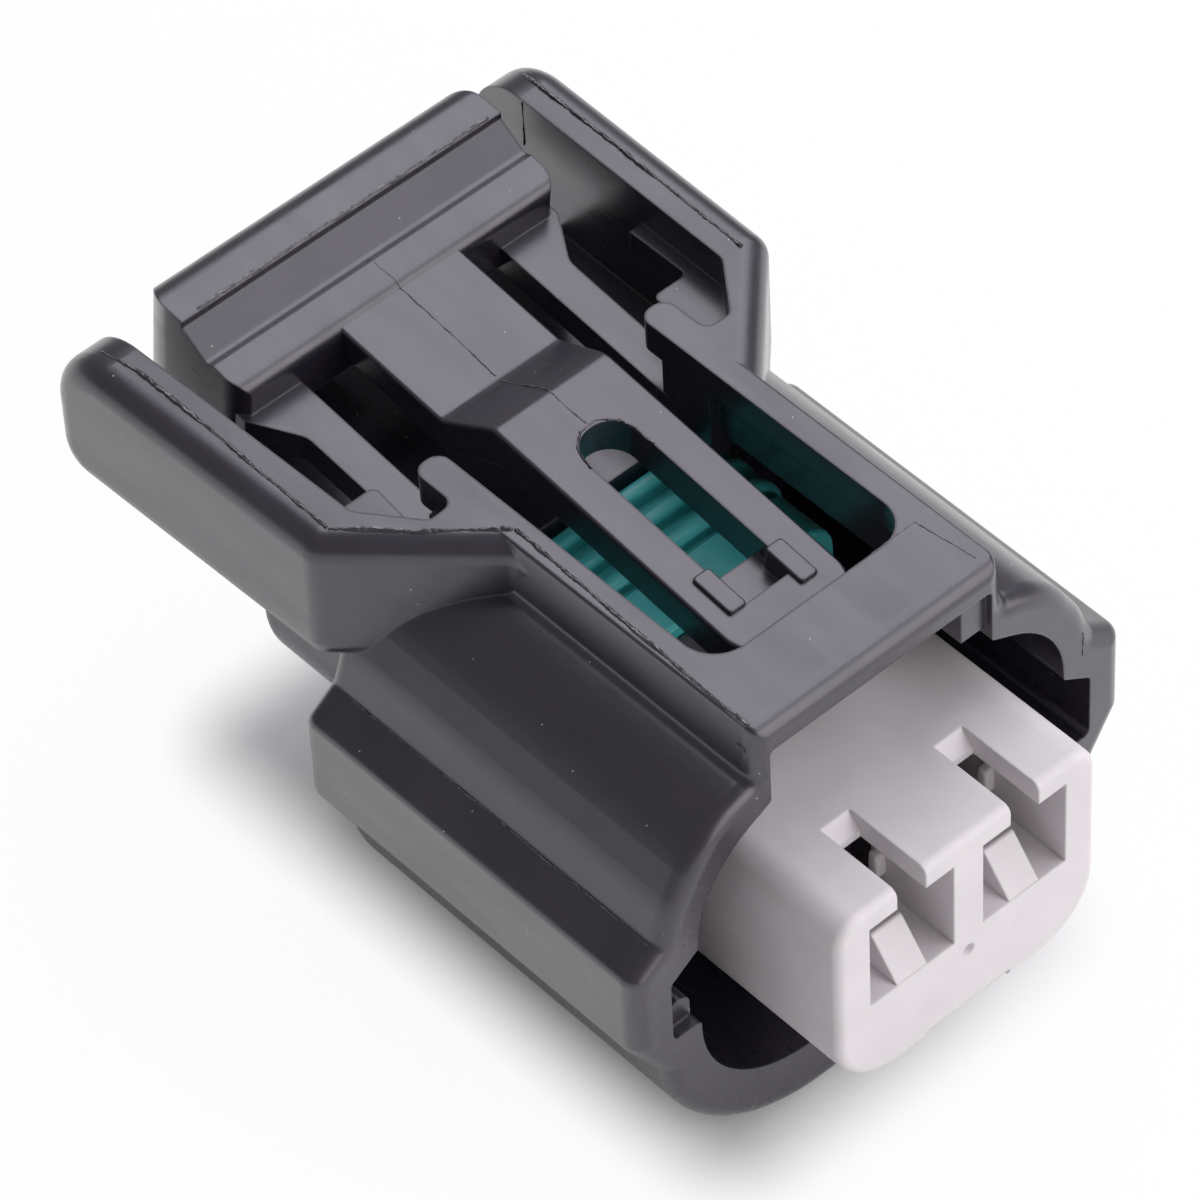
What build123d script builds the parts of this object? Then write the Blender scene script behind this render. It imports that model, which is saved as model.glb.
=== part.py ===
"""Two-way sealed automotive connector, socket half: moulded housing with its latch lever, front
holder, peripheral seal, two contacts and two wire seals.

Millimetres. +X is the way the connector is pushed onto its mate, +Y is across, +Z is up.
The pieces are drawn with X = 0 at the hood's front plane, Y = 0 on the middle plane and Z = 0 at
the flat that the hood rests on, then written out with X = 0 halfway along the connector.
"""

import math
import os

from build123d import *

os.makedirs("parts", exist_ok=True)

# Hood: the outer sleeve that the mating header goes into
hood_height = 17.4
hood_length = 14.45
side_half = 8.7
side_wall = 1.4
shoulder_drop = 2.0
cheek_drop = 5.0
front_round = 0.6
rear_round = 0.5
back_wall = 1.15

# Keyway bulges on the hood's two sides
bulge_half = 9.8
bulge_wall = 1.4
bulge_top_drop = 6.15
bulge_bottom_drop = 12.0
bulge_slope = 0.8

# Mating space between hood and core
space_half = side_half - side_wall
space_roof_drop = 3.1
space_slope = 1.5
space_floor = 2.3
space_bottom_r = 4.4
keyway_half = bulge_half - bulge_wall
keyway_top_drop = 7.15
keyway_bottom_drop = 10.45
keyway_finger_straight = 0.535

# Roof plate with the opening that the lever lies in
roof_half = 4.8
roof_wall = 1.0
rail_half = 4.35
opening_half = 3.9
opening_corner_r = 1.2
bridge_length = 2.8
coding_rib_width = 1.0
coding_rib_height = 1.65

# Guard wings beside the thumb pad
wing_length = 11.5
wing_height = 5.15
wing_outer = 9.05
wing_wall = 1.75
wing_flare = 1.5
wing_round = 0.8
wing_top_end_r = 2.2
wing_bottom_end_r = 1.3
deck_drop = 4.5
deck_length = 7.85

# Recess between each wing and the hook beside the opening, with its lower shelf
hook_half = 4.98
hook_r = 0.48
recess_depth = 1.85
shelf_drop = 1.2
shelf_thick = 0.9
shelf_reach = 1.15
shelf_slot = 0.5
ledge_reach = 3.65
ledge_width = 0.45
leg_bay_depth = 2.1

# Terminal core inside the hood, and the round tower behind it that holds the wire seals
core_half = 5.15
core_top_drop = 5.35
core_bottom_drop = 13.0
core_top_r = 0.9
core_bottom_r = 2.3
core_step_x = 5.3
nose_x = 1.75
pitch = 4.5
wire_drop = 8.95
tower_length = 6.35
tower_half = 6.35
tower_top_drop = 5.0
tower_bottom_drop = 13.2
tower_r = 3.35
tower_round = 0.6
wire_bore_r = 2.1
cavity_width = 2.4
cavity_height = 2.5
contact_drop = 8.2

# Front holder: the light cap on the core's nose that backs up the contacts
holder_reach = 3.5
holder_skirt = 3.4
holder_wall = 0.85
holder_block_x = 0.05
slide_gap = 0.08
holder_cell_half = 1.664
holder_cell_top_drop = 6.15
holder_cell_floor_drop = 9.57
slot_half = 0.565
slot_length = 2.7
slot_ramp = 0.52
catch_depth = 0.35

# Peripheral seal round the core
seal_back_x = 13.25
seal_length = 5.35
seal_groove = 0.35
seal_skin = 0.42
seal_rib = 0.55
seal_rib_width = 0.62
seal_collar = 0.38
seal_collar_length = 1.9
seal_ribs = 3

# Latch lever, in a frame turned by lever_tilt about its hinge line at the leg roots
hinge_from_back = 0.95
hinge_drop = 3.15
lever_tilt = 7.2
leg_inner = 3.95
leg_width = 1.25
leg_thick = 1.05
leg_seat_gap = 0.06
arm_half = 2.24
arm_top = 3.08
arm_thick = 1.35
rear_arm_half = 2.38
rear_arm_top = 1.62
rear_arm_thick = 1.15
arm_round = 0.12
arm_tip = 9.75
ramp_front = 0.9
ramp_length = 2.0
pad_half = 6.3
pad_front = 7.3
pad_back = 12.05
pad_top = 2.6
pad_floor = 1.2
pad_end_r = 1.0
pad_rear_r = 1.5
pad_groove = 8.75
pad_ridge = 10.03
window_half = 0.98
window_length = 6.1
window_from_tip = 2.75
catch_drop = 0.68
catch_bar = 1.5
catch_block_width = 0.66
catch_block_rise = 0.14

# Contacts and wire seals
contact_width = 2.0
contact_height = 1.9
contact_wall = 0.25
contact_front_x = 2.3
contact_box = 6.2
wire_r = 0.8
wire_seal_length = 5.6
wire_seal_inset = 0.3
wire_seal_gap = 0.03
wire_seal_body = 0.28
wire_seal_neck_r = 1.1
wire_seal_neck = 1.5

wing_end_x = hood_length + wing_length
wing_inner = wing_outer - wing_wall
wing_spread = wing_length * math.tan(math.radians(wing_flare))
shoulder_run = wing_outer - roof_half - 0.1
shoulder_x = hood_length - 0.15 - shoulder_run
recess_half = max(wing_inner - 1.4, hook_half + 0.9)
tower_end_x = hood_length + tower_length
hinge_x = hood_length - hinge_from_back
cell_ys = (-pitch / 2, pitch / 2)


def height(drop):
    """Height above the rest flat of a level that is measured down from the roof."""
    return hood_height - drop


def mirrored_outline(half):
    """Closed outline symmetric about Y = 0, from (y, z, radius) corners of its +Y half."""
    corners = half + [(-y, z, r) for y, z, r in reversed(half)]
    line = FilletPolyline(
        *[(y, z) for y, z, _ in corners], radius=[r for _, _, r in corners], close=True
    )
    return make_face(line)


def along_x(face_2d, x_from, x_to):
    """Prism of a Y-Z outline between two X stations."""
    return extrude(Plane.YZ.offset(x_from) * face_2d, amount=x_to - x_from)


def plan_prism(points, radii, z_from, z_to):
    """Prism of a closed X-Y outline with its own corner radii."""
    line = FilletPolyline(*points, radius=radii, close=True)
    return extrude(Plane.XY.offset(z_from) * make_face(line), amount=z_to - z_from)


def side_prism(points, radii, y_from, y_to):
    """Prism of a closed X-Z outline between two Y stations."""
    line = FilletPolyline(*points, radius=radii, close=True)
    return extrude(Plane.XZ.offset(-y_from) * make_face(line), amount=y_from - y_to)


def block(x_from, x_to, y_from, y_to, z_from, z_to):
    """Plain block between six planes."""
    size = (x_to - x_from, y_to - y_from, z_to - z_from)
    middle = ((x_from + x_to) / 2, (y_from + y_to) / 2, (z_from + z_to) / 2)
    return Pos(*middle) * Box(*size)


def hood_section():
    """Outer section of the hood: roof, round shoulders, keyway bulges and round bottom."""
    shoulder = side_half - roof_half
    bottom_r = min(1.13 * height(bulge_bottom_drop), 0.8 * side_half)
    return mirrored_outline(
        [
            (roof_half, height(0), 0.12),
            (roof_half + 0.15, height(shoulder_drop), 0.3),
            (roof_half + 0.52 * shoulder, height(shoulder_drop + 0.5), shoulder),
            (roof_half + 0.9 * shoulder, height(cheek_drop), 0.9 * shoulder),
            (side_half, height(bulge_top_drop), 0.3),
            (bulge_half, height(bulge_top_drop + bulge_slope), 0.4),
            (bulge_half, height(bulge_bottom_drop - 1.9), 0.6),
            (side_half - 0.1, height(bulge_bottom_drop), 0.3),
            (side_half - 0.95, 0, bottom_r),
        ]
    )


def space_section():
    """Section of the mating space, open up to the roof plate between the rails."""
    side_r = 1.28 * (space_half - rail_half)
    return mirrored_outline(
        [
            (rail_half, height(roof_wall), 0.2),
            (rail_half, height(space_roof_drop), 0.15),
            (space_half, height(space_roof_drop + space_slope), side_r),
            (space_half, height(keyway_top_drop), 0.1),
            (keyway_half, height(keyway_top_drop + 0.75), 0.25),
            (keyway_half, height(keyway_bottom_drop), 0.3),
            (space_half, height(keyway_bottom_drop), 0.12),
            (space_half, space_floor, space_bottom_r),
        ]
    )


def core_section(grow):
    """Section of the terminal core, grown outward by a margin (inward when negative)."""
    top_r = max(core_top_r + grow, 0.2)
    bottom_r = max(core_bottom_r + grow, 0.4)
    return mirrored_outline(
        [
            (core_half + grow, height(core_top_drop - grow), top_r),
            (core_half + grow, height(core_bottom_drop + grow), bottom_r),
        ]
    )


def tower_section():
    """Section of the tower round both wire bores."""
    return mirrored_outline(
        [
            (tower_half, height(tower_top_drop), tower_r),
            (tower_half, height(tower_bottom_drop), tower_r),
        ]
    )


def deck_side():
    """+Y half of the deck round the lever: 45 degree wall, flared guard wing and its floor."""
    points = [
        (-shoulder_x + 1.5, 0),
        (-shoulder_x + 1.5, roof_half),
        (-shoulder_x, roof_half + 0.1),
        (-shoulder_x - shoulder_run, wing_outer),
        (-wing_end_x, wing_outer + wing_spread),
        (-wing_end_x, wing_inner + wing_spread),
        (-hood_length, wing_inner),
        (-hood_length, 0),
    ]
    radii = [0, 0, 0.5, wing_round, 0, 0, 0.3, 0]
    solid = plan_prism(points, radii, height(wing_height), height(0))
    solid &= side_prism(
        [
            (0, height(0)),
            (-wing_end_x, height(0)),
            (-wing_end_x, height(wing_height)),
            (0, height(wing_height)),
        ],
        [0, wing_top_end_r, wing_bottom_end_r, 0],
        -1,
        bulge_half + 1,
    )
    top = height(0)

    def outside(edge):
        """True for an edge of the outer wall that is rounded over: its top and its free end."""
        at = edge.center()
        line = roof_half + 0.1 - (at.X + shoulder_x)
        spread = (-at.X - shoulder_x - shoulder_run) * wing_spread / wing_length
        edge_y = min(line, wing_outer + spread)
        on_wall = at.Y > max(edge_y, roof_half + 0.1) - 0.06
        upper = at.Z > top - 0.01 or at.X < -wing_end_x + wing_top_end_r
        return on_wall and upper and at.X < -shoulder_x - 0.3

    solid = fillet([e for e in solid.edges() if outside(e)], wing_round)
    floor = plan_prism(
        [
            (-hood_length + 0.5, 0),
            (-hood_length + 0.5, wing_inner + 0.3),
            (-hood_length - deck_length, wing_inner + 0.3),
            (-hood_length - deck_length, 0),
        ],
        [0, 0, 0, 0],
        height(wing_height),
        height(deck_drop),
    )
    return solid + floor


def recess_outline(inner_y, front_x):
    """Corners of one +Y recess: wing, 45 degree wall, round bottom and back along the hook."""
    back = -hood_length - 1
    return [
        (back, wing_inner),
        (-hood_length, wing_inner),
        (-hood_length + recess_depth, recess_half),
        (front_x, inner_y),
        (back, inner_y),
    ]


def opening_cut():
    """Lever opening through the roof, open to the back, with a recess beside each hook."""
    back = -hood_length - 1
    cut = plan_prism(
        [
            (back, -opening_half),
            (back, opening_half),
            (-bridge_length, opening_half),
            (-bridge_length, -opening_half),
        ],
        [0, 0, opening_corner_r, opening_corner_r],
        height(deck_drop),
        height(0) + 1,
    )
    recess = plan_prism(
        recess_outline(hook_half, -hood_length + recess_depth - 0.05),
        [0, 0.5, 0.35, 0.38, 0],
        height(deck_drop),
        height(0) + 1,
    )
    return cut + recess + mirror(recess, Plane.XZ)


def leg_bay():
    """Space under the shelf, open to the back, that the lever's legs come in through."""
    narrow = leg_inner + leg_width + 0.15
    half = recess_outline(narrow, -hood_length + leg_bay_depth)[:4]
    points = half + [(x, -y) for x, y in reversed(half)]
    radii = [0, 0.5, 0.3, 0.3, 0.3, 0.3, 0.5, 0]
    return plan_prism(points, radii, height(deck_drop), height(roof_wall + 0.15))


def lower_shelf():
    """+Y shelf on the recess's floor, clear of the leg, reaching a little past the hood."""
    reach_x = -hood_length - shelf_reach
    inner = hook_half + shelf_slot
    anchor = wing_inner + 0.2
    ledge_x = -hood_length - ledge_reach
    ledge_y = wing_inner - ledge_width
    return plan_prism(
        [
            (reach_x, inner),
            (reach_x, ledge_y),
            (ledge_x, ledge_y),
            (ledge_x, anchor),
            (-hood_length + 0.3, anchor),
            (-hood_length + recess_depth + 0.4, recess_half + 0.1),
            (-hood_length + recess_depth + 0.4, inner + 0.2),
            (-hood_length + 0.5, inner + 0.2),
        ],
        [0.25, 0.2, 0, 0, 0, 0, 0, 0.3],
        height(shelf_drop + shelf_thick),
        height(shelf_drop),
    )


def leg_root(side):
    """Block below the shelf that carries one leg, with the leg's round seat cut into it."""
    y_from = side * leg_inner
    y_to = side * (leg_inner + leg_width)
    y_low, y_high = min(y_from, y_to), max(y_from, y_to)
    root = block(
        -hinge_x,
        -hood_length + leg_bay_depth + 0.9,
        y_low,
        y_high,
        height(hinge_drop + leg_thick / 2 + 0.35),
        height(roof_wall),
    )
    seat_r = leg_thick / 2 + leg_seat_gap
    axis = Pos(-hinge_x, (y_low + y_high) / 2, height(hinge_drop)) * Rot(90, 0, 0)
    return root - axis * Cylinder(seat_r, leg_width + 1)


def housing():
    """The black moulding: hood, roof, wings, core and wire tower in one piece."""
    hood = along_x(hood_section(), -hood_length, 0)
    front = hood.faces().sort_by(Axis.X)[-1]
    rim = [e for e in front.edges() if e.center().Z < height(0.4)]
    hood = fillet(rim, front_round)
    back = hood.faces().sort_by(Axis.X)[0]
    rim = [e for e in back.edges() if height(bulge_bottom_drop) - 1 < e.center().Z < height(cheek_drop)]
    hood = fillet(rim, rear_round)
    side = deck_side()
    body = hood + side + mirror(side, Plane.XZ)

    space_back = -hood_length + back_wall
    body -= along_x(space_section(), space_back, 1)
    body -= leg_bay()
    body -= opening_cut()
    hooks = [
        e
        for e in body.edges().filter_by(Axis.Z)
        if abs(e.center().X + hood_length) < 0.01
        and opening_half - 0.1 < abs(e.center().Y) < hook_half + 0.1
        and e.center().Z > height(roof_wall + 0.2)
    ]
    body = fillet(hooks, hook_r)
    shelf = lower_shelf()
    body += shelf + mirror(shelf, Plane.XZ)
    body += leg_root(-1) + leg_root(1)

    body += coding_rib() + keyway_finger()
    body += core()
    body -= cell_cuts()
    return body


def coding_rib():
    """Coding rib under the roof at the +Y rail, which only the right header clears."""
    return block(
        -bridge_length,
        -0.25,
        rail_half - coding_rib_width,
        rail_half + 0.1,
        height(roof_wall + coding_rib_height),
        height(roof_wall - 0.1),
    )


def keyway_finger():
    """Round-topped stop that makes the -Y keyway shorter than the +Y one."""
    bottom = height(keyway_bottom_drop)
    left = -keyway_half + 0.22
    right = -space_half - 0.05
    half_width = (right - left) / 2
    top = bottom + keyway_finger_straight + half_width
    points = [(left, bottom - 0.1), (right, bottom - 0.1), (right, top), (left, top)]
    round_top = half_width - 0.03
    face = make_face(FilletPolyline(*points, radius=[0, 0, round_top, round_top], close=True))
    return along_x(face, -hood_length + back_wall, -0.45)


def core():
    """Core from the back wall to its nose, with the seal's groove, and the round wire tower."""
    back = -hood_length
    solid = along_x(core_section(0), back, -core_step_x)
    groove = along_x(core_section(1), -seal_back_x, -seal_back_x + seal_length)
    groove -= along_x(core_section(-seal_groove), -seal_back_x, -seal_back_x + seal_length)
    solid -= groove
    solid += along_x(core_section(-holder_wall - slide_gap), -core_step_x, -nose_x)
    tower = along_x(tower_section(), -tower_end_x, back + 0.5)
    end = tower.faces().sort_by(Axis.X)[0]
    tower = fillet(end.edges(), tower_round)
    return solid + tower


def cell_cuts():
    """Per wire: the seal bore from behind and the contact's cavity through to the nose."""
    cuts = None
    for y in cell_ys:
        bore = Pos(0, y, height(wire_drop)) * Rot(0, 90, 0) * Cylinder(
            wire_bore_r, tower_length, align=(Align.CENTER, Align.CENTER, Align.MIN)
        )
        cell = Pos(-tower_end_x, 0, 0) * bore
        cell += block(
            -hood_length - 0.5,
            0,
            y - cavity_width / 2,
            y + cavity_width / 2,
            height(contact_drop + cavity_height / 2),
            height(contact_drop - cavity_height / 2),
        )
        throat_end = -contact_front_x - contact_box - 0.7
        throat = Pos(-hood_length - 0.5, y, height(wire_drop)) * Rot(0, 90, 0)
        cell += throat * Cylinder(
            wire_seal_neck_r + contact_wall + 0.1,
            throat_end + hood_length + 0.5,
            align=(Align.CENTER, Align.CENTER, Align.MIN),
        )
        cuts = cell if cuts is None else cuts + cell
    return cuts


def lever_profile_pad():
    """Side outline of the thumb pad: high rear ridge, hollow step, finger bar and round front."""
    return [
        (-pad_front, -leg_thick / 2, 0.3),
        (-pad_front, rear_arm_top + 0.15, 0.55),
        (-pad_groove + 0.15, rear_arm_top + 0.28, 0.1),
        (-pad_groove - 0.1, rear_arm_top + 0.1, 0.25),
        (-pad_ridge + 0.03, pad_top - 0.28, 0),
        (-pad_ridge, pad_top, 0.06),
        (-pad_back, pad_top - 0.1, 1.0),
        (-pad_back + 0.15, -pad_floor, 0.4),
    ]


def lever_pad():
    """Thumb pad with rounded ends, cored out from below."""
    outline = lever_profile_pad()
    points = [(x, z) for x, z, _ in outline]
    radii = [r for _, _, r in outline]
    pad = side_prism(points, radii, -pad_half, pad_half)
    pad &= plan_prism(
        [
            (-pad_front + 0.2, -pad_half),
            (-pad_front + 0.2, pad_half),
            (-pad_back - 0.2, pad_half),
            (-pad_back - 0.2, -pad_half),
        ],
        [pad_end_r, pad_end_r, pad_rear_r, pad_rear_r],
        -pad_floor - 1,
        pad_top + 1,
    )
    hollow = block(
        -pad_back + 0.95,
        -pad_front - 0.9,
        -pad_half + 1.0,
        pad_half - 1.0,
        -pad_floor - 1,
        rear_arm_top - 0.9,
    )
    rib = block(-pad_back, -pad_front, -0.45, 0.45, -pad_floor, rear_arm_top)
    return pad - (hollow - rib)


def lever_arm():
    """Arm from the pad to the tip, stepped up at a ramp, with the window and its catch bar."""
    rear_under = rear_arm_top - rear_arm_thick
    front_under = arm_top - arm_thick
    ramp_back = ramp_front + ramp_length
    outline = [
        (-pad_front - 0.6, rear_arm_top, 0),
        (-ramp_back, rear_arm_top, 0.6),
        (-ramp_front, arm_top, 0.6),
        (arm_tip, arm_top, 0.35),
        (arm_tip + 0.35, front_under, 0.2),
        (-ramp_front + 0.5, front_under, 0.5),
        (-ramp_back + 0.5, rear_under, 0.5),
        (-pad_front - 0.6, rear_under, 0),
    ]
    points = [(x, z) for x, z, _ in outline]
    radii = [r for _, _, r in outline]
    arm = side_prism(points, radii, -rear_arm_half, rear_arm_half)
    plan = plan_prism(
        [
            (-pad_front - 1, -rear_arm_half),
            (-ramp_back + 0.4, -rear_arm_half),
            (-ramp_front, -arm_half),
            (arm_tip + 0.3, -arm_half),
            (arm_tip + 0.3, arm_half),
            (-ramp_front, arm_half),
            (-ramp_back + 0.4, rear_arm_half),
            (-pad_front - 1, rear_arm_half),
        ],
        [0, 0.5, 0.5, 1.0, 1.0, 0.5, 0.5, 0],
        -1,
        arm_top + 1,
    )
    arm &= plan
    long_tops = [
        e
        for e in arm.edges().filter_by(Axis.X)
        if e.length > ramp_length and e.center().Z > rear_arm_top - 0.01
    ]
    arm = fillet(long_tops, arm_round)
    window_front = arm_tip - window_from_tip
    slot = plan_prism(
        [
            (window_front - window_length, -window_half),
            (window_front - window_length, window_half),
            (window_front + catch_bar, window_half),
            (window_front + catch_bar, -window_half),
        ],
        [window_half - 0.03, window_half - 0.03, 0.1, 0.1],
        front_under - 1,
        arm_top + 1,
    )
    arm -= slot
    arm += block(
        window_front,
        window_front + catch_bar + 0.1,
        -window_half - 0.1,
        window_half + 0.1,
        front_under - 0.55,
        arm_top - catch_drop,
    )
    arm += catch_block(window_front - 0.1, window_half - 0.08, 1.65, -1)
    arm += catch_block(window_front + 0.45, window_half - 0.2, 1.6, 1)
    return arm


def catch_block(x, inner, length, side):
    """Raised block beside the catch bar, its inner wall reaching down to the bar."""
    inner_y = side * inner
    outer_y = side * (inner + catch_block_width)
    pad = plan_prism(
        [(x, inner_y), (x, outer_y), (x + length, outer_y), (x + length, inner_y)],
        [0.12, 0.12, 0.12, 0.12],
        arm_top - catch_drop - 0.3,
        arm_top + catch_block_rise,
    )
    return fillet(pad.faces().sort_by(Axis.Z)[-1].edges(), 0.07)


def lever_leg(side):
    """One flexing leg: a strip with a round root and a flared web under the pad."""
    inner = side * leg_inner
    outer = side * (leg_inner + leg_width)
    flare = side * (pad_half - 0.1)
    plan = plan_prism(
        [
            (0, inner),
            (-pad_front - 0.9, inner),
            (-pad_front - 0.9, flare),
            (-pad_front + 0.1, flare),
            (-pad_front + 1.7, outer),
            (0, outer),
        ],
        [0, 0, 0, 0.2, 0.8, 0],
        -leg_thick / 2,
        leg_thick / 2,
    )
    root = Pos(0, (inner + outer) / 2, 0) * Rot(90, 0, 0) * Cylinder(leg_thick / 2, leg_width)
    return plan + root


def latch_lever():
    """Lever with pad, arm and two legs, placed at its hinge line with its free tilt."""
    lever = lever_pad() + lever_arm() + lever_leg(-1) + lever_leg(1)
    return Pos(-hinge_x, 0, height(hinge_drop)) * Rot(0, lever_tilt, 0) * lever


def front_holder():
    """Light cap on the core's nose: two open cells with slots, flexing fingers and tongues."""
    cap = along_x(core_section(0), -holder_skirt, holder_reach)
    front = cap.faces().sort_by(Axis.X)[-1]
    cap = fillet(front.edges(), 0.3)
    cap -= along_x(core_section(-holder_wall), -holder_skirt - 1, holder_block_x)
    recess = block(
        -holder_skirt - 1,
        holder_reach + 1,
        -pitch / 2 + 0.6,
        pitch / 2 - 0.6,
        height(core_bottom_drop + 1),
        height(core_bottom_drop - catch_depth),
    )
    cap -= recess
    for y in cell_ys:
        cap -= holder_cell(y)
        cap += holder_finger(y)
    dimple = Pos(holder_reach, 0, height(holder_cell_floor_drop + 0.75)) * Rot(0, 90, 0)
    return cap - dimple * Cone(0.12, 0.32, 0.5)


def holder_cell(y):
    """Cell of one contact, open to the front, with the ramped slot through its roof."""
    cell = block(
        holder_block_x - 0.5,
        holder_reach + 1,
        y - holder_cell_half,
        y + holder_cell_half,
        height(holder_cell_floor_drop),
        height(holder_cell_top_drop),
    )
    slot = block(
        holder_reach - slot_length,
        holder_reach + 1,
        y - slot_half,
        y + slot_half,
        height(holder_cell_top_drop + 0.5),
        height(core_top_drop) + 1,
    )
    back = holder_reach - slot_length
    ramp = side_prism(
        [
            (back - slot_ramp, height(core_top_drop) + 0.05),
            (back + 0.1, height(core_top_drop) + 0.05),
            (back + 0.1, height(core_top_drop + slot_ramp)),
            (back, height(core_top_drop + slot_ramp)),
        ],
        [0, 0, 0, 0],
        y - slot_half,
        y + slot_half,
    )
    return cell + slot + ramp


def holder_finger(y):
    """Wedge on the cell's floor that guides the tab in."""
    floor = height(holder_cell_floor_drop)
    return side_prism(
        [
            (holder_reach - 2.4, floor - 0.3),
            (holder_reach - 2.4, floor + 0.7),
            (holder_reach - 1.1, floor + 1.37),
            (holder_reach - 0.02, floor),
            (holder_reach - 0.02, floor - 0.3),
        ],
        [0, 0.1, 0.1, 0, 0],
        y - 0.6,
        y + 0.6,
    )


def peripheral_seal():
    """Teal ring on the core: thin skin, three ribs and a broad front collar."""
    back = -seal_back_x + 0.04
    front = -seal_back_x + seal_length - 0.04
    skin = -seal_groove + seal_skin
    ring = along_x(core_section(skin), back, front)
    rib_space = (seal_length - 0.08 - seal_collar_length) / seal_ribs
    for i in range(seal_ribs):
        x = back + rib_space * (i + 0.12)
        ring += seal_rib_body(x, skin)
    collar = along_x(core_section(skin + seal_collar), front - seal_collar_length, front)
    ring += fillet(collar.faces().sort_by(Axis.X)[-1].edges(), 0.15)
    return ring - along_x(core_section(-seal_groove + 0.02), back - 1, front + 1)


def seal_rib_body(x, skin):
    """One rib of the seal, with a rounded crest."""
    rib = along_x(core_section(skin + seal_rib), x, x + seal_rib_width)
    ends = rib.faces().filter_by(Axis.X)
    edges = ends[0].edges() + ends[1].edges()
    return fillet(edges, seal_rib_width / 2 - 0.06)


def contact(y):
    """Stamped socket contact: box with a contact spring, wire crimp and seal crimp."""
    low = height(contact_drop + contact_height / 2)
    high = height(contact_drop - contact_height / 2)
    front = -contact_front_x
    back = front - contact_box
    half = contact_width / 2
    box = block(back, front, y - half, y + half, low, high)
    hole = block(
        back - 1,
        front + 1,
        y - half + contact_wall,
        y + half - contact_wall,
        low + contact_wall,
        high - contact_wall,
    )
    box -= hole
    box -= block(back + 2.2, back + 3.4, y - 0.55, y + 0.55, low - 1, low + contact_wall + 0.1)
    spring = side_prism(
        [
            (front - 0.4, low + 0.1),
            (front - 0.4, low + contact_wall + 0.15),
            (front - 2.6, low + 0.85),
            (back + 3.5, low + contact_wall + 0.1),
            (back + 3.5, low + 0.1),
        ],
        [0, 0.1, 0.4, 0.1, 0],
        y - half + contact_wall + 0.15,
        y + half - contact_wall - 0.15,
    )
    wire_z = height(wire_drop)
    wire_crimp_r = wire_r + 0.05
    seal_crimp_r = wire_seal_neck_r + 0.02
    wire_low = wire_z - wire_crimp_r - contact_wall
    seal_low = wire_z - seal_crimp_r - contact_wall
    seal_front = -tower_end_x + wire_seal_inset + wire_seal_length
    seal_end = seal_front + wire_seal_neck
    skin = contact_wall / 6
    sheet = contact_wall - 2 * skin
    strip = [
        (back + 0.2, low + skin + sheet),
        (back - 0.4, low + skin + sheet),
        (back - 1.9, wire_low + skin + sheet),
        (seal_end + 0.9, wire_low + skin + sheet),
        (seal_end + 0.3, seal_low + skin + sheet),
        (seal_end - 0.2, seal_low + skin + sheet),
        (seal_end - 0.2, seal_low + skin),
        (seal_end + 0.35, seal_low + skin),
        (seal_end + 0.95, wire_low + skin),
        (back - 1.85, wire_low + skin),
        (back - 0.35, low + skin),
        (back + 0.2, low + skin),
    ]
    neck = side_prism(strip, [0] * len(strip), y - 0.45, y + 0.45)
    wire_crimp = crimp_barrel(y, wire_z, seal_end + 0.8, back - 1.8, wire_crimp_r)
    seal_crimp = crimp_barrel(y, wire_z, seal_front + 0.1, seal_end + 0.1, seal_crimp_r)
    return box + spring + neck + wire_crimp + seal_crimp


def crimp_barrel(y, z, x_from, x_to, inner_r):
    """Open barrel rolled from the contact's strip, with a slit along its top."""
    length = x_to - x_from
    place = Pos((x_from + x_to) / 2, y, z) * Rot(0, 90, 0)
    barrel = place * (Cylinder(inner_r + contact_wall, length) - Cylinder(inner_r, length))
    return barrel - block(x_from, x_to, y - 0.12, y + 0.12, z, z + inner_r + 1)


def wire_seal(y):
    """Moulded wire seal: body with three lips, and a neck that the contact grips."""
    outer = wire_bore_r - wire_seal_gap
    body_r = outer - wire_seal_body
    back = -tower_end_x + wire_seal_inset
    front = back + wire_seal_length
    lip_space = wire_seal_length / 3
    lip = 0.35
    points = [(back, wire_r)]
    for i in range(3):
        x = back + lip_space * (i + 0.5)
        points += [(x - lip_space / 2, body_r) if i == 0 else (x - lip, body_r)]
        if i == 0:
            points += [(x - lip, body_r)]
        points += [(x, outer), (x + lip, body_r)]
    points += [(front, body_r), (front, wire_seal_neck_r)]
    points += [(front + wire_seal_neck, wire_seal_neck_r), (front + wire_seal_neck, wire_r)]
    face = make_face(Polyline(*points, close=True))
    solid = revolve(Plane.XY * face, Axis.X)
    return Pos(0, y, height(wire_drop)) * solid


def main():
    pieces = {
        "housing": housing(),
        "latch_lever": latch_lever(),
        "front_holder": front_holder(),
        "peripheral_seal": peripheral_seal(),
    }
    for name, y in zip(("right", "left"), cell_ys):
        pieces[f"contact_{name}"] = contact(y)
        pieces[f"wire_seal_{name}"] = wire_seal(y)
    halfway = Pos((wing_end_x - holder_reach) / 2, 0, 0)
    for name, solid in pieces.items():
        export_step(halfway * solid, f"parts/{name}.step")


main()
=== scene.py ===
import math
import random

import bmesh
import bpy
from mathutils import Matrix, Vector


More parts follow.
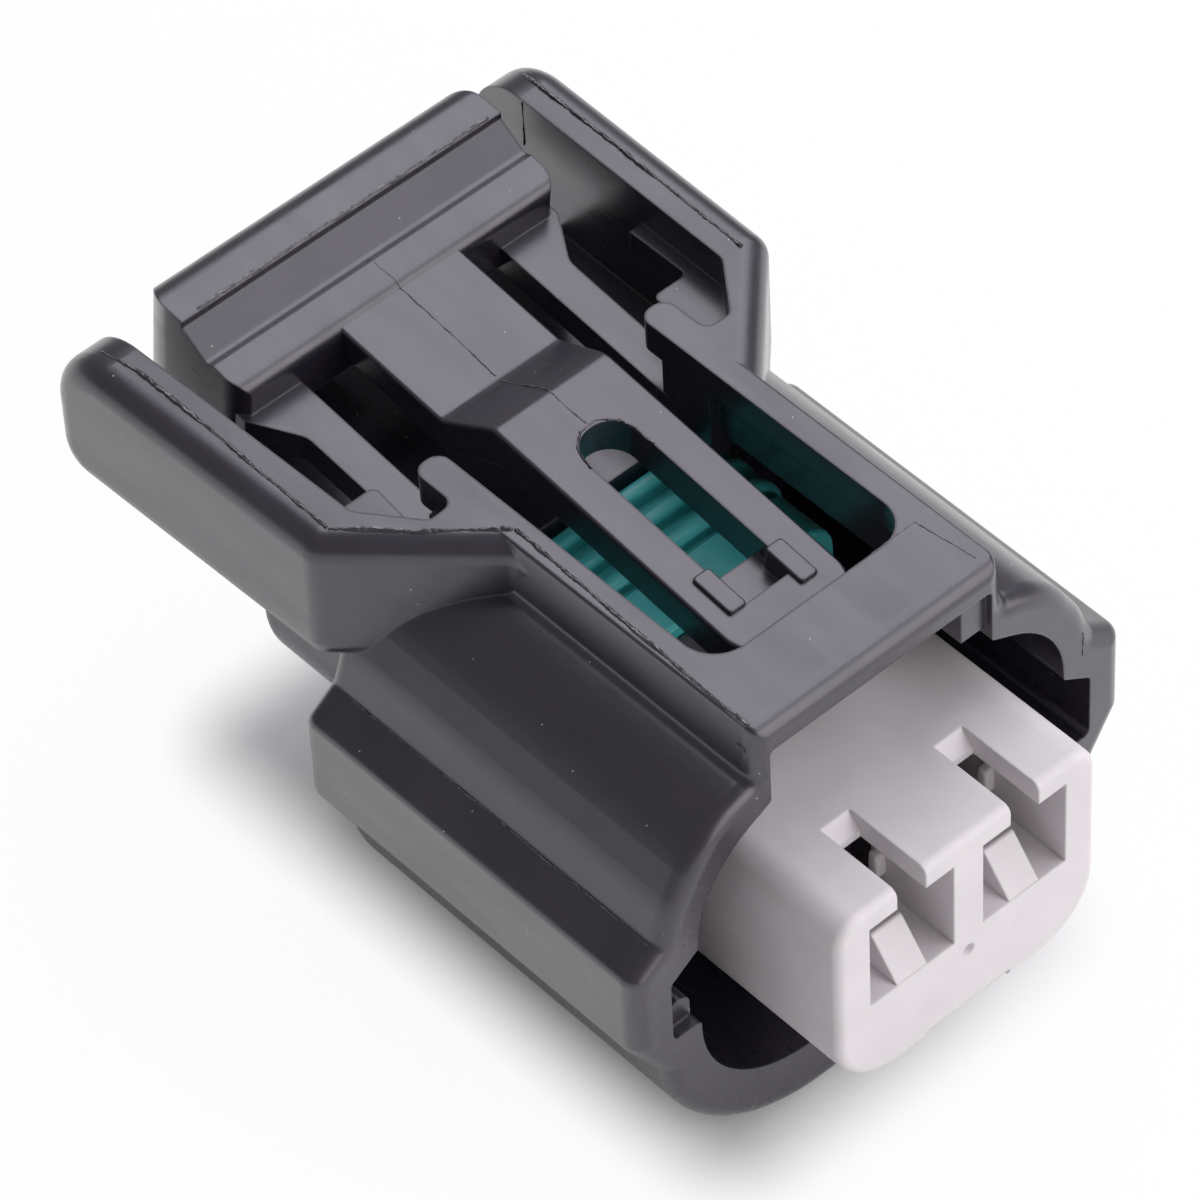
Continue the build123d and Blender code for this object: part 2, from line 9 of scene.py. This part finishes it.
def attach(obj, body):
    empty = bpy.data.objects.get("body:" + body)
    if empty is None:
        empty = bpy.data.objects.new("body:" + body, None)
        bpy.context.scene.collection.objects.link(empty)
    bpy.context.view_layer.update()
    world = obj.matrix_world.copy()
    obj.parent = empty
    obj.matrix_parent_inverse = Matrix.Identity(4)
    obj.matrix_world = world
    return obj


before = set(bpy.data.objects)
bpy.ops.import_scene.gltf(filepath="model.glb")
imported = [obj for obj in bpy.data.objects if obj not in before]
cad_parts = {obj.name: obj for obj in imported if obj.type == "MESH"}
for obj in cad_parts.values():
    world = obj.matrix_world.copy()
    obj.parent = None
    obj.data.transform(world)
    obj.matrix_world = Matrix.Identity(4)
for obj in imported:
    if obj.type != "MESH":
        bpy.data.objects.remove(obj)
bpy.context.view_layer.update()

# Millimetres measured from the hood's front plane become metres in the part's frame.
HOOD_FRONT = 11.225


def at(x, y, z):
    return Vector(((x + HOOD_FRONT) / 1000, y / 1000, z / 1000))


# Materials

# Most of a noise texture's values lie between these two.
NOISE_LOW, NOISE_HIGH = 0.3, 0.7
NOISE_ROUGHNESS = 0.55
BEVEL_SAMPLES = 6

# Dust specks: cells to the metre, a speck's radius as a share of its cell, and its colour.
DUST_CELLS = 1100
DUST_RADIUS = 0.03
DUST_COLOUR = (0.45, 0.43, 0.42, 1.0)

# The mark of an ejector pin at the roof's corner, and its radius in metres.
PIN_MARK = at(-0.63, -4.87, 16.45)
PIN_MARK_RADIUS = 0.0002


def new_material(name):
    mat = bpy.data.materials.new(name)
    mat.use_nodes = True
    nodes = mat.node_tree.nodes
    links = mat.node_tree.links
    nodes.clear()
    out = nodes.new("ShaderNodeOutputMaterial")
    shader = nodes.new("ShaderNodeBsdfPrincipled")
    links.new(shader.outputs["BSDF"], out.inputs["Surface"])
    coords = nodes.new("ShaderNodeTexCoord").outputs["Object"]
    return mat, nodes, links, shader, coords


def noise(nodes, links, coords, scale, detail, stretch=None):
    tex = nodes.new("ShaderNodeTexNoise")
    tex.inputs["Scale"].default_value = scale
    tex.inputs["Detail"].default_value = detail
    tex.inputs["Roughness"].default_value = NOISE_ROUGHNESS
    if stretch:
        mapping = nodes.new("ShaderNodeMapping")
        mapping.inputs["Scale"].default_value = stretch
        links.new(coords, mapping.inputs["Vector"])
        coords = mapping.outputs["Vector"]
    links.new(coords, tex.inputs["Vector"])
    return tex.outputs["Fac"]


def two_tone(nodes, links, source, dark, light, low=NOISE_LOW, high=NOISE_HIGH):
    """A colour that goes from dark to light as the source goes from low to high."""
    node = nodes.new("ShaderNodeValToRGB")
    for element, place, colour in zip(node.color_ramp.elements, (low, high), (dark, light)):
        element.position = place
        element.color = (*colour, 1.0)
    links.new(source, node.inputs["Fac"])
    return node.outputs["Color"]


def spread(nodes, links, source, least, most):
    """A number that goes from least to most as the noise rises."""
    node = nodes.new("ShaderNodeMapRange")
    node.inputs["From Min"].default_value = NOISE_LOW
    node.inputs["From Max"].default_value = NOISE_HIGH
    node.inputs["To Min"].default_value = least
    node.inputs["To Max"].default_value = most
    links.new(source, node.inputs["Value"])
    return node.outputs["Result"]


def calc(nodes, links, operation, first, second):
    """A Math node on a socket and either a number or a second socket."""
    node = nodes.new("ShaderNodeMath")
    node.operation = operation
    links.new(first, node.inputs[0])
    if isinstance(second, float):
        node.inputs[1].default_value = second
    else:
        links.new(second, node.inputs[1])
    return node.outputs[0]


def dimple(nodes, links, coords, centre, radius):
    """0 in the middle half of a small round mark, rising to 1 at its rim and outside it."""
    away = nodes.new("ShaderNodeVectorMath")
    away.operation = "DISTANCE"
    away.inputs[1].default_value = centre
    links.new(coords, away.inputs[0])
    node = nodes.new("ShaderNodeMapRange")
    node.interpolation_type = "SMOOTHSTEP"
    node.inputs["From Min"].default_value = radius / 2
    node.inputs["From Max"].default_value = radius
    links.new(away.outputs["Value"], node.inputs["Value"])
    return node.outputs["Result"]


def dusted(nodes, links, coords, colour):
    """A few pale specks of dust, a twentieth of a millimetre across at most, over a colour."""
    cells = nodes.new("ShaderNodeTexVoronoi")
    cells.inputs["Scale"].default_value = DUST_CELLS
    links.new(coords, cells.inputs["Vector"])
    mix = nodes.new("ShaderNodeMix")
    mix.data_type = "RGBA"
    mix.inputs["B"].default_value = DUST_COLOUR
    speck = calc(nodes, links, "LESS_THAN", cells.outputs["Distance"], DUST_RADIUS)
    links.new(speck, mix.inputs["Factor"])
    links.new(colour, mix.inputs["A"])
    return mix.outputs["Result"]


def relief(nodes, links, shader, edge_radius, layers):
    """Softened edges under layers of bump, each a height, its strength and its depth in metres."""
    edges = nodes.new("ShaderNodeBevel")
    edges.samples = BEVEL_SAMPLES
    edges.inputs["Radius"].default_value = edge_radius
    normal = edges.outputs["Normal"]
    for height, strength, depth in layers:
        node = nodes.new("ShaderNodeBump")
        node.inputs["Strength"].default_value = strength
        node.inputs["Distance"].default_value = depth
        links.new(height, node.inputs["Height"])
        links.new(normal, node.inputs["Normal"])
        normal = node.outputs["Normal"]
    links.new(normal, shader.inputs["Normal"])


def black_plastic():
    mat, nodes, links, shader, coords = new_material("black_plastic")
    cloud = noise(nodes, links, coords, scale=420, detail=4)
    flow = noise(nodes, links, coords, scale=900, detail=3, stretch=(0.25, 1.0, 1.0))
    grain = noise(nodes, links, coords, scale=15000, detail=2)
    wave = noise(nodes, links, coords, scale=330, detail=2)
    scuffs = noise(nodes, links, coords, scale=2600, detail=3, stretch=(1.0, 0.12, 1.0))
    mark = dimple(nodes, links, coords, PIN_MARK, PIN_MARK_RADIUS)
    skin = two_tone(nodes, links, cloud, dark=(0.0148, 0.012, 0.0195), light=(0.0238, 0.0198, 0.031))
    links.new(dusted(nodes, links, coords, skin), shader.inputs["Base Color"])
    links.new(spread(nodes, links, flow, least=0.22, most=0.36), shader.inputs["Roughness"])
    shader.inputs["IOR"].default_value = 1.6
    shader.inputs["Coat Weight"].default_value = 0.65
    shader.inputs["Coat Roughness"].default_value = 0.3
    shader.inputs["Specular Tint"].default_value = (0.97, 0.94, 1.0, 1.0)
    layers = [
        (wave, 0.28, 0.00006),
        (scuffs, 0.06, 0.00002),
        (grain, 0.14, 0.000012),
        (mark, 0.9, 0.00008),
    ]
    relief(nodes, links, shader, edge_radius=0.00012, layers=layers)
    return mat


def grey_plastic():
    mat, nodes, links, shader, coords = new_material("grey_plastic")
    cloud = noise(nodes, links, coords, scale=500, detail=4)
    grain = noise(nodes, links, coords, scale=14000, detail=2)
    wave = noise(nodes, links, coords, scale=300, detail=2)
    skin = two_tone(nodes, links, cloud, dark=(0.62, 0.585, 0.605), light=(0.68, 0.64, 0.66))
    links.new(skin, shader.inputs["Base Color"])
    links.new(spread(nodes, links, cloud, least=0.46, most=0.56), shader.inputs["Roughness"])
    shader.inputs["IOR"].default_value = 1.55
    shader.inputs["Subsurface Weight"].default_value = 0.12
    shader.inputs["Subsurface Radius"].default_value = (0.0006, 0.0005, 0.0005)
    shader.inputs["Subsurface Scale"].default_value = 1.0
    layers = [(wave, 0.2, 0.00005), (grain, 0.15, 0.000012)]
    relief(nodes, links, shader, edge_radius=0.00012, layers=layers)
    return mat


def rubber(name, dark, light):
    mat, nodes, links, shader, coords = new_material(name)
    cloud = noise(nodes, links, coords, scale=700, detail=4)
    grain = noise(nodes, links, coords, scale=12000, detail=3)
    links.new(two_tone(nodes, links, cloud, dark, light), shader.inputs["Base Color"])
    links.new(spread(nodes, links, cloud, least=0.28, most=0.42), shader.inputs["Roughness"])
    shader.inputs["Sheen Weight"].default_value = 0.1
    layers = [(cloud, 0.15, 0.00005), (grain, 0.15, 0.00001)]
    relief(nodes, links, shader, edge_radius=0.00008, layers=layers)
    return mat


def tinned_metal():
    mat, nodes, links, shader, coords = new_material("tinned_metal")
    cloud = noise(nodes, links, coords, scale=900, detail=4)
    rolled = noise(nodes, links, coords, scale=9000, detail=2, stretch=(0.08, 1.0, 1.0))
    skin = two_tone(nodes, links, cloud, dark=(0.60, 0.57, 0.51), light=(0.72, 0.70, 0.66))
    links.new(skin, shader.inputs["Base Color"])
    shader.inputs["Metallic"].default_value = 1.0
    links.new(spread(nodes, links, cloud, least=0.22, most=0.36), shader.inputs["Roughness"])
    relief(nodes, links, shader, edge_radius=0.00004, layers=[(rolled, 0.2, 0.00001)])
    return mat


def flash_painted_light(name, dark, light):
    """Dull, rough plastic whose colour is painted light on a flash ridge: painted shade on its near
    side, a painted highlight on its crest.
    """
    mat, nodes, links, shader, coords = new_material(name)
    cloud = noise(nodes, links, coords, scale=5000, detail=3)
    skin = two_tone(nodes, links, cloud, dark, light, low=0.35, high=0.65)
    links.new(skin, shader.inputs["Base Color"])
    links.new(spread(nodes, links, cloud, least=0.7, most=0.9), shader.inputs["Roughness"])
    shader.inputs["Specular IOR Level"].default_value = 0.15
    return mat


def dress(names, mat):
    for name in names:
        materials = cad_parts[name].data.materials
        materials.clear()
        materials.append(mat)


BLACK = black_plastic()
# Painted shade: near-black colour on the near side of each flash ridge, standing in for the shade
# beside it.
FLASH_PAINTED_SHADE = flash_painted_light("flash_painted_light", dark=(0.004, 0.004, 0.005), light=(0.010, 0.010, 0.012))
# Painted highlight: pale grey colour on each flash ridge's crest, standing in for the light it
# catches.
FLASH_PAINTED_HIGHLIGHT = flash_painted_light("flash_crest_painted_highlight", dark=(0.04, 0.04, 0.045), light=(0.34, 0.33, 0.35))
GREY = grey_plastic()
SEAL = rubber("seal_rubber", dark=(0.035, 0.38, 0.385), light=(0.06, 0.47, 0.475))
WIRE_SEAL = rubber("wire_seal_rubber", dark=(0.035, 0.38, 0.38), light=(0.06, 0.48, 0.475))
dress(["housing", "latch_lever"], BLACK)
dress(["front_holder"], GREY)
dress(["peripheral_seal"], SEAL)
dress(["wire_seal_right", "wire_seal_left"], WIRE_SEAL)
dress(["contact_right", "contact_left"], tinned_metal())


def new_object(name, mesh, materials):
    """Makes a finished bmesh an object of the scene."""
    data = bpy.data.meshes.new(name)
    mesh.to_mesh(data)
    mesh.free()
    for mat in materials:
        data.materials.append(mat)
    obj = bpy.data.objects.new(name, data)
    bpy.context.collection.objects.link(obj)
    return obj


# Parting-line flash

# Metres: between cross sections, how far the line strays, and how deep its foot is sunk.
FLASH_STEP = 0.00009
FLASH_STRAY = 0.00002
FLASH_SINK = 0.00003

# Shares of the full height at the start and at the lowest, and the most that the height and the
# straying change from one cross section to the next.
FLASH_START = 0.6
FLASH_LOWEST = 0.3
FLASH_JUMP = 0.22
FLASH_DRIFT = 0.3

# Shares of the width: the foot's at no height, what full height adds to it, half the crest's at
# full height, and how far the crest leans to either side.
FOOT_LEAST = 0.7
FOOT_GROWTH = 0.5
CREST_HALF = 0.16
LEAN_LEFT, LEAN_RIGHT = -0.1, 0.2

# Material slots of a stretch's left side, crest, right side and underside; the left side carries
# painted shade and the crest a painted highlight.
FLASH_MATERIALS = [BLACK, FLASH_PAINTED_SHADE, FLASH_PAINTED_HIGHLIGHT]
FLASH_SLOTS = (1, 2, 0, 0)


def walk(points, step):
    """Places about a step apart along a polyline, with the direction of travel at each."""
    places = []
    for start, end in zip(points, points[1:]):
        way = end - start
        count = max(1, round(way.length / step))
        places += [(start + way * i / count, way.normalized()) for i in range(count)]
    return places + [(points[-1], (points[-1] - points[-2]).normalized())]


def flash(name, node, points, stand, seed, height=0.10, width=0.18):
    """A thin ragged ridge where two mould halves met, along a line on one CAD piece.

    The line's points, the height and the width are in millimetres.
    """
    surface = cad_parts[node]
    stand = Vector(stand).normalized()
    sink = stand * FLASH_SINK
    height /= 1000
    width /= 1000
    rand = random.Random(seed)
    mesh = bmesh.new()
    rings = []
    tall, stray = FLASH_START, 0.0
    for place, way in walk([at(*point) for point in points], FLASH_STEP):
        foot = surface.closest_point_on_mesh(place)[1]
        tall = min(1.0, max(FLASH_LOWEST, tall + rand.uniform(-FLASH_JUMP, FLASH_JUMP)))
        stray = min(1.0, max(-1.0, stray + rand.uniform(-FLASH_DRIFT, FLASH_DRIFT)))
        side = way.cross(stand).normalized()
        foot = foot + side * stray * FLASH_STRAY
        half = side * width / 2 * (FOOT_LEAST + FOOT_GROWTH * tall)
        top = foot + stand * height * tall + side * rand.uniform(LEAN_LEFT, LEAN_RIGHT) * width
        crest = side * width * CREST_HALF * tall
        ring = (foot - half - sink, top - crest, top + crest, foot + half - sink)
        rings.append([mesh.verts.new(corner) for corner in ring])
    for first, second in zip(rings, rings[1:]):
        for i, slot in enumerate(FLASH_SLOTS):
            j = (i + 1) % len(FLASH_SLOTS)
            face = mesh.faces.new((first[i], second[i], second[j], first[j]))
            face.material_index = slot
    mesh.faces.new(rings[0])
    mesh.faces.new(rings[-1][::-1])
    bmesh.ops.recalc_face_normals(mesh, faces=mesh.faces)
    obj = new_object(name, mesh, FLASH_MATERIALS)
    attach(obj, "lever" if node == "latch_lever" else "shell")


UP = (0, 0, 1)
flash(
    "flash_wing_left",
    "housing",
    [
        (-24.5, -8.33, 17.25),
        (-23.6, -8.2, 17.4),
        (-22.96, -8.09, 17.4),
        (-19.3, -8.13, 17.4),
        (-14.45, -8.2, 17.4),
    ],
    UP,
    seed=3,
)
flash(
    "flash_flare_left",
    "housing",
    [(-14.4, -8.2, 17.38), (-12.5, -6.4, 17.37), (-10.68, -4.4, 17.4)],
    UP,
    seed=4,
)
flash(
    "flash_shoulder_left",
    "housing",
    [(-10.6, -4.36, 17.4), (-6.89, -4.47, 17.4), (-1.69, -4.65, 17.4), (-0.5, -4.68, 17.35)],
    UP,
    seed=5,
)
flash(
    "flash_wing_right",
    "housing",
    [(-24.5, 8.4, 17.25), (-23.65, 8.31, 17.4), (-19.97, 8.24, 17.4), (-14.41, 8.06, 17.4)],
    UP,
    seed=6,
)
flash(
    "flash_wing_right_end",
    "housing",
    [(-23.6, 7.54, 17.3), (-23.6, 7.54, 15.5)],
    (0, -1, 0),
    seed=11,
    height=0.05,
    width=0.08,
)
flash(
    "flash_lever_rear",
    "latch_lever",
    [(-22.0, -0.1, 17.13), (-20.47, 0.02, 16.76), (-18.0, -0.01, 16.45), (-16.4, -0.04, 16.25)],
    UP,
    seed=7,
    height=0.04,
    width=0.09,
)
flash(
    "flash_lever_ramp",
    "latch_lever",
    [
        (-16.2, -0.05, 16.25),
        (-15.28, -0.05, 16.72),
        (-14.43, 0.0, 17.18),
        (-13.4, -0.05, 17.34),
        (-12.4, -0.02, 17.2),
    ],
    UP,
    seed=8,
    height=0.04,
    width=0.09,
)
flash(
    "flash_window",
    "latch_lever",
    [
        (-11.1, -1.02, 17.05),
        (-11.9, -0.85, 17.15),
        (-12.3, -0.35, 17.2),
        (-12.35, 0.3, 17.2),
        (-11.9, 0.85, 17.15),
        (-10.6, 1.02, 17.0),
    ],
    UP,
    seed=12,
    height=0.10,
    width=0.13,
)
flash(
    "flash_pad_ridge",
    "latch_lever",
    [(-23.2, -5.6, 18.07), (-23.2, 5.85, 18.07)],
    UP,
    seed=9,
    height=0.06,
    width=0.13,
)
flash(
    "flash_bridge_side",
    "housing",
    [(-2.8, 2.2, 17.4), (-2.82, 4.0, 17.4)],
    UP,
    seed=14,
    height=0.025,
    width=0.06,
)
flash(
    "flash_bridge_step",
    "housing",
    [(-2.82, 4.02, 17.4), (-1.72, 4.15, 17.4), (-0.62, 4.28, 17.4)],
    UP,
    seed=15,
    height=0.025,
    width=0.06,
)
flash(
    "flash_rib_left",
    "housing",
    [(-13.6, -8.73, 11.24), (-7.7, -8.73, 11.23), (-2.53, -8.75, 11.21), (-0.5, -8.74, 11.15)],
    (0, -0.7, 0.7),
    seed=16,
    height=0.03,
    width=0.07,
)
flash(
    "flash_rim_right",
    "housing",
    [(-0.02, 8.1, 11.7), (0.0, 8.08, 10.75)],
    (1, 0, 0),
    seed=17,
    height=0.04,
    width=0.07,
)


# Ribs in the holder's cells

# Millimetres: a rib's length, depth and height, and from the wall to its middle.
RIB_SIZE = (0.45, 0.44, 0.95)
RIB_REACH = 0.12

# A rib's length at the top as a share of that at the bottom, and the radius of its edges in metres.
RIB_TOP = 0.8
RIB_EDGE = 0.00008


def cell_rib(name, x, wall_y, z):
    """A small upright rib with rounded edges on the side wall of one of the holder's cells."""
    mesh = bmesh.new()
    bmesh.ops.create_cube(mesh, size=1.0)
    centre = at(x, wall_y - RIB_REACH, z)
    length, depth, height = RIB_SIZE
    for vert in mesh.verts:
        slim = RIB_TOP if vert.co.z > 0 else 1.0
        corner = Vector((vert.co.x * length * slim, vert.co.y * depth, vert.co.z * height))
        vert.co = centre + corner / 1000
    bmesh.ops.bevel(mesh, geom=mesh.edges[:], offset=RIB_EDGE, segments=3, affect="EDGES", profile=0.5)
    for face in mesh.faces:
        face.smooth = True
    obj = new_object(name, mesh, [GREY])
    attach(obj, "holder")


cell_rib("cell_rib_right", x=0.45, wall_y=-0.59, z=9.05)
cell_rib("cell_rib_left", x=0.35, wall_y=3.91, z=9.05)


# Stage, light and camera

# The paper's side in metres, and the most of its own white that it shows.
PAPER_SIZE = 3.0
PAPER_WHITE = 0.95


def clear_of_part(nodes, links, coords, half_size, reach):
    """Rises from 0 under the part to nearly 1 at a reach outside its footprint."""
    far = coords
    for operation, value in (
        ("ABSOLUTE", None),
        ("SUBTRACT", half_size),
        ("MAXIMUM", (0.0, 0.0, 0.0)),
    ):
        node = nodes.new("ShaderNodeVectorMath")
        node.operation = operation
        links.new(far, node.inputs[0])
        if value is not None:
            node.inputs[1].default_value = value
        far = node.outputs["Vector"]
    away = nodes.new("ShaderNodeVectorMath")
    away.operation = "LENGTH"
    links.new(far, away.inputs[0])
    rise = nodes.new("ShaderNodeMapRange")
    rise.interpolation_type = "SMOOTHSTEP"
    rise.inputs["From Max"].default_value = reach
    rise.inputs["To Max"].default_value = PAPER_WHITE
    links.new(away.outputs["Value"], rise.inputs["Value"])
    return rise.outputs["Result"]


def stage_floor():
    """White paper that shows its own white away from the part and takes the part's shadow near it."""
    bpy.ops.mesh.primitive_plane_add(size=PAPER_SIZE, location=(0, 0, 0))
    floor = bpy.context.object
    floor.name = "floor"
    mat, nodes, links, shader, coords = new_material("paper")
    fibre = noise(nodes, links, coords, scale=600, detail=2)
    skin = two_tone(nodes, links, fibre, dark=(0.93, 0.93, 0.93), light=(0.95, 0.95, 0.95))
    links.new(skin, shader.inputs["Base Color"])
    shader.inputs["Roughness"].default_value = 0.9
    glow = nodes.new("ShaderNodeEmission")
    rays = nodes.new("ShaderNodeLightPath").outputs
    near_white = clear_of_part(nodes, links, coords, half_size=(0.0105, 0.0055, 0.0), reach=0.004)
    far_white = clear_of_part(nodes, links, coords, half_size=(0.0200, 0.0085, 0.0), reach=0.006)
    share = calc(nodes, links, "MULTIPLY", rays["Is Camera Ray"], near_white)
    for kind in ("Is Glossy Ray", "Is Transmission Ray"):
        mirrored = calc(nodes, links, "MULTIPLY", rays[kind], far_white)
        share = calc(nodes, links, "MAXIMUM", share, mirrored)
    mix = nodes.new("ShaderNodeMixShader")
    links.new(share, mix.inputs["Fac"])
    links.new(shader.outputs["BSDF"], mix.inputs[1])
    links.new(glow.outputs["Emission"], mix.inputs[2])
    out = next(node for node in nodes if node.type == "OUTPUT_MATERIAL")
    links.new(mix.outputs["Shader"], out.inputs["Surface"])
    floor.data.materials.append(mat)


def world_light(level):
    """A world that lights the scene at a level, and is white where the camera sees it."""
    world = bpy.data.worlds.new("studio")
    bpy.context.scene.world = world
    world.use_nodes = True
    nodes = world.node_tree.nodes
    links = world.node_tree.links
    nodes.clear()
    path = nodes.new("ShaderNodeLightPath")
    strength = nodes.new("ShaderNodeMapRange")
    strength.inputs["To Min"].default_value = level
    strength.inputs["To Max"].default_value = 1.0
    links.new(path.outputs["Is Camera Ray"], strength.inputs["Value"])
    back = nodes.new("ShaderNodeBackground")
    back.inputs["Color"].default_value = (1.0, 1.0, 1.0, 1.0)
    links.new(strength.outputs["Result"], back.inputs["Strength"])
    out = nodes.new("ShaderNodeOutputWorld")
    links.new(back.outputs["Background"], out.inputs["Surface"])


# Metres: the lamps' distance from the point that they face, and that point.
LAMP_DISTANCE = 0.45
LAMP_AIM = Vector((0, 0, 0.01))

# An area lamp's energy for each unit of its radiance and of its area.
LAMP_ENERGY = 4


def softbox(name, direction, size, radiance, colour):
    lamp = bpy.data.lights.new(name, "AREA")
    lamp.color = colour
    lamp.shape = "RECTANGLE"
    lamp.size, lamp.size_y = size
    lamp.energy = radiance * LAMP_ENERGY * size[0] * size[1]
    obj = bpy.data.objects.new(name, lamp)
    bpy.context.collection.objects.link(obj)
    way = Vector(direction).normalized()
    obj.location = way * LAMP_DISTANCE + LAMP_AIM
    obj.rotation_euler = way.to_track_quat("Z", "Y").to_euler()


# The photo's camera: its direction and roll in degrees, its lens in millimetres, the shift of its
# picture, and its place in millimetres from the middle of the hood's front plane.
CAMERA_AZIMUTH = 40.256
CAMERA_ELEVATION = 47.245
CAMERA_ROLL = -2.955
CAMERA_LENS = 224.4
CAMERA_SENSOR = 36
CAMERA_SHIFT = (-0.0208, -0.0765)
CAMERA_PLACE = (102.310, -95.833, 175.178)


def photo_camera():
    azimuth = math.radians(CAMERA_AZIMUTH)
    elevation = math.radians(CAMERA_ELEVATION)
    roll = math.radians(CAMERA_ROLL)
    back = Vector((
        math.cos(elevation) * math.cos(azimuth),
        -math.cos(elevation) * math.sin(azimuth),
        math.sin(elevation),
    ))
    level = Vector((math.sin(azimuth), math.cos(azimuth), 0))
    rise = back.cross(level)
    right = level * math.cos(roll) + rise * math.sin(roll)
    up = rise * math.cos(roll) - level * math.sin(roll)
    camera = bpy.data.cameras.new("camera")
    camera.lens = CAMERA_LENS
    camera.sensor_width = CAMERA_SENSOR
    camera.shift_x, camera.shift_y = CAMERA_SHIFT
    camera.clip_start = 0.01
    obj = bpy.data.objects.new("camera", camera)
    bpy.context.collection.objects.link(obj)
    place = at(*CAMERA_PLACE)
    obj.matrix_world = Matrix((
        (right.x, up.x, back.x, place.x),
        (right.y, up.y, back.y, place.y),
        (right.z, up.z, back.z, place.z),
        (0, 0, 0, 1),
    ))
    bpy.context.scene.camera = obj


stage_floor()
world_light(level=0.288)
softbox("top_softbox", (-0.20, 0.46, 0.87), size=(0.42, 0.40), radiance=2.0, colour=(0.94, 0.93, 1.0))
softbox("fill_softbox", (0.50, 0.44, 0.76), size=(0.30, 0.26), radiance=1.2, colour=(0.94, 0.92, 1.0))
softbox("front_softbox", (0.90, 0.30, 0.30), size=(0.60, 0.34), radiance=1.8, colour=(1.0, 0.98, 0.97))
photo_camera()
bpy.context.scene.view_settings.view_transform = "Standard"
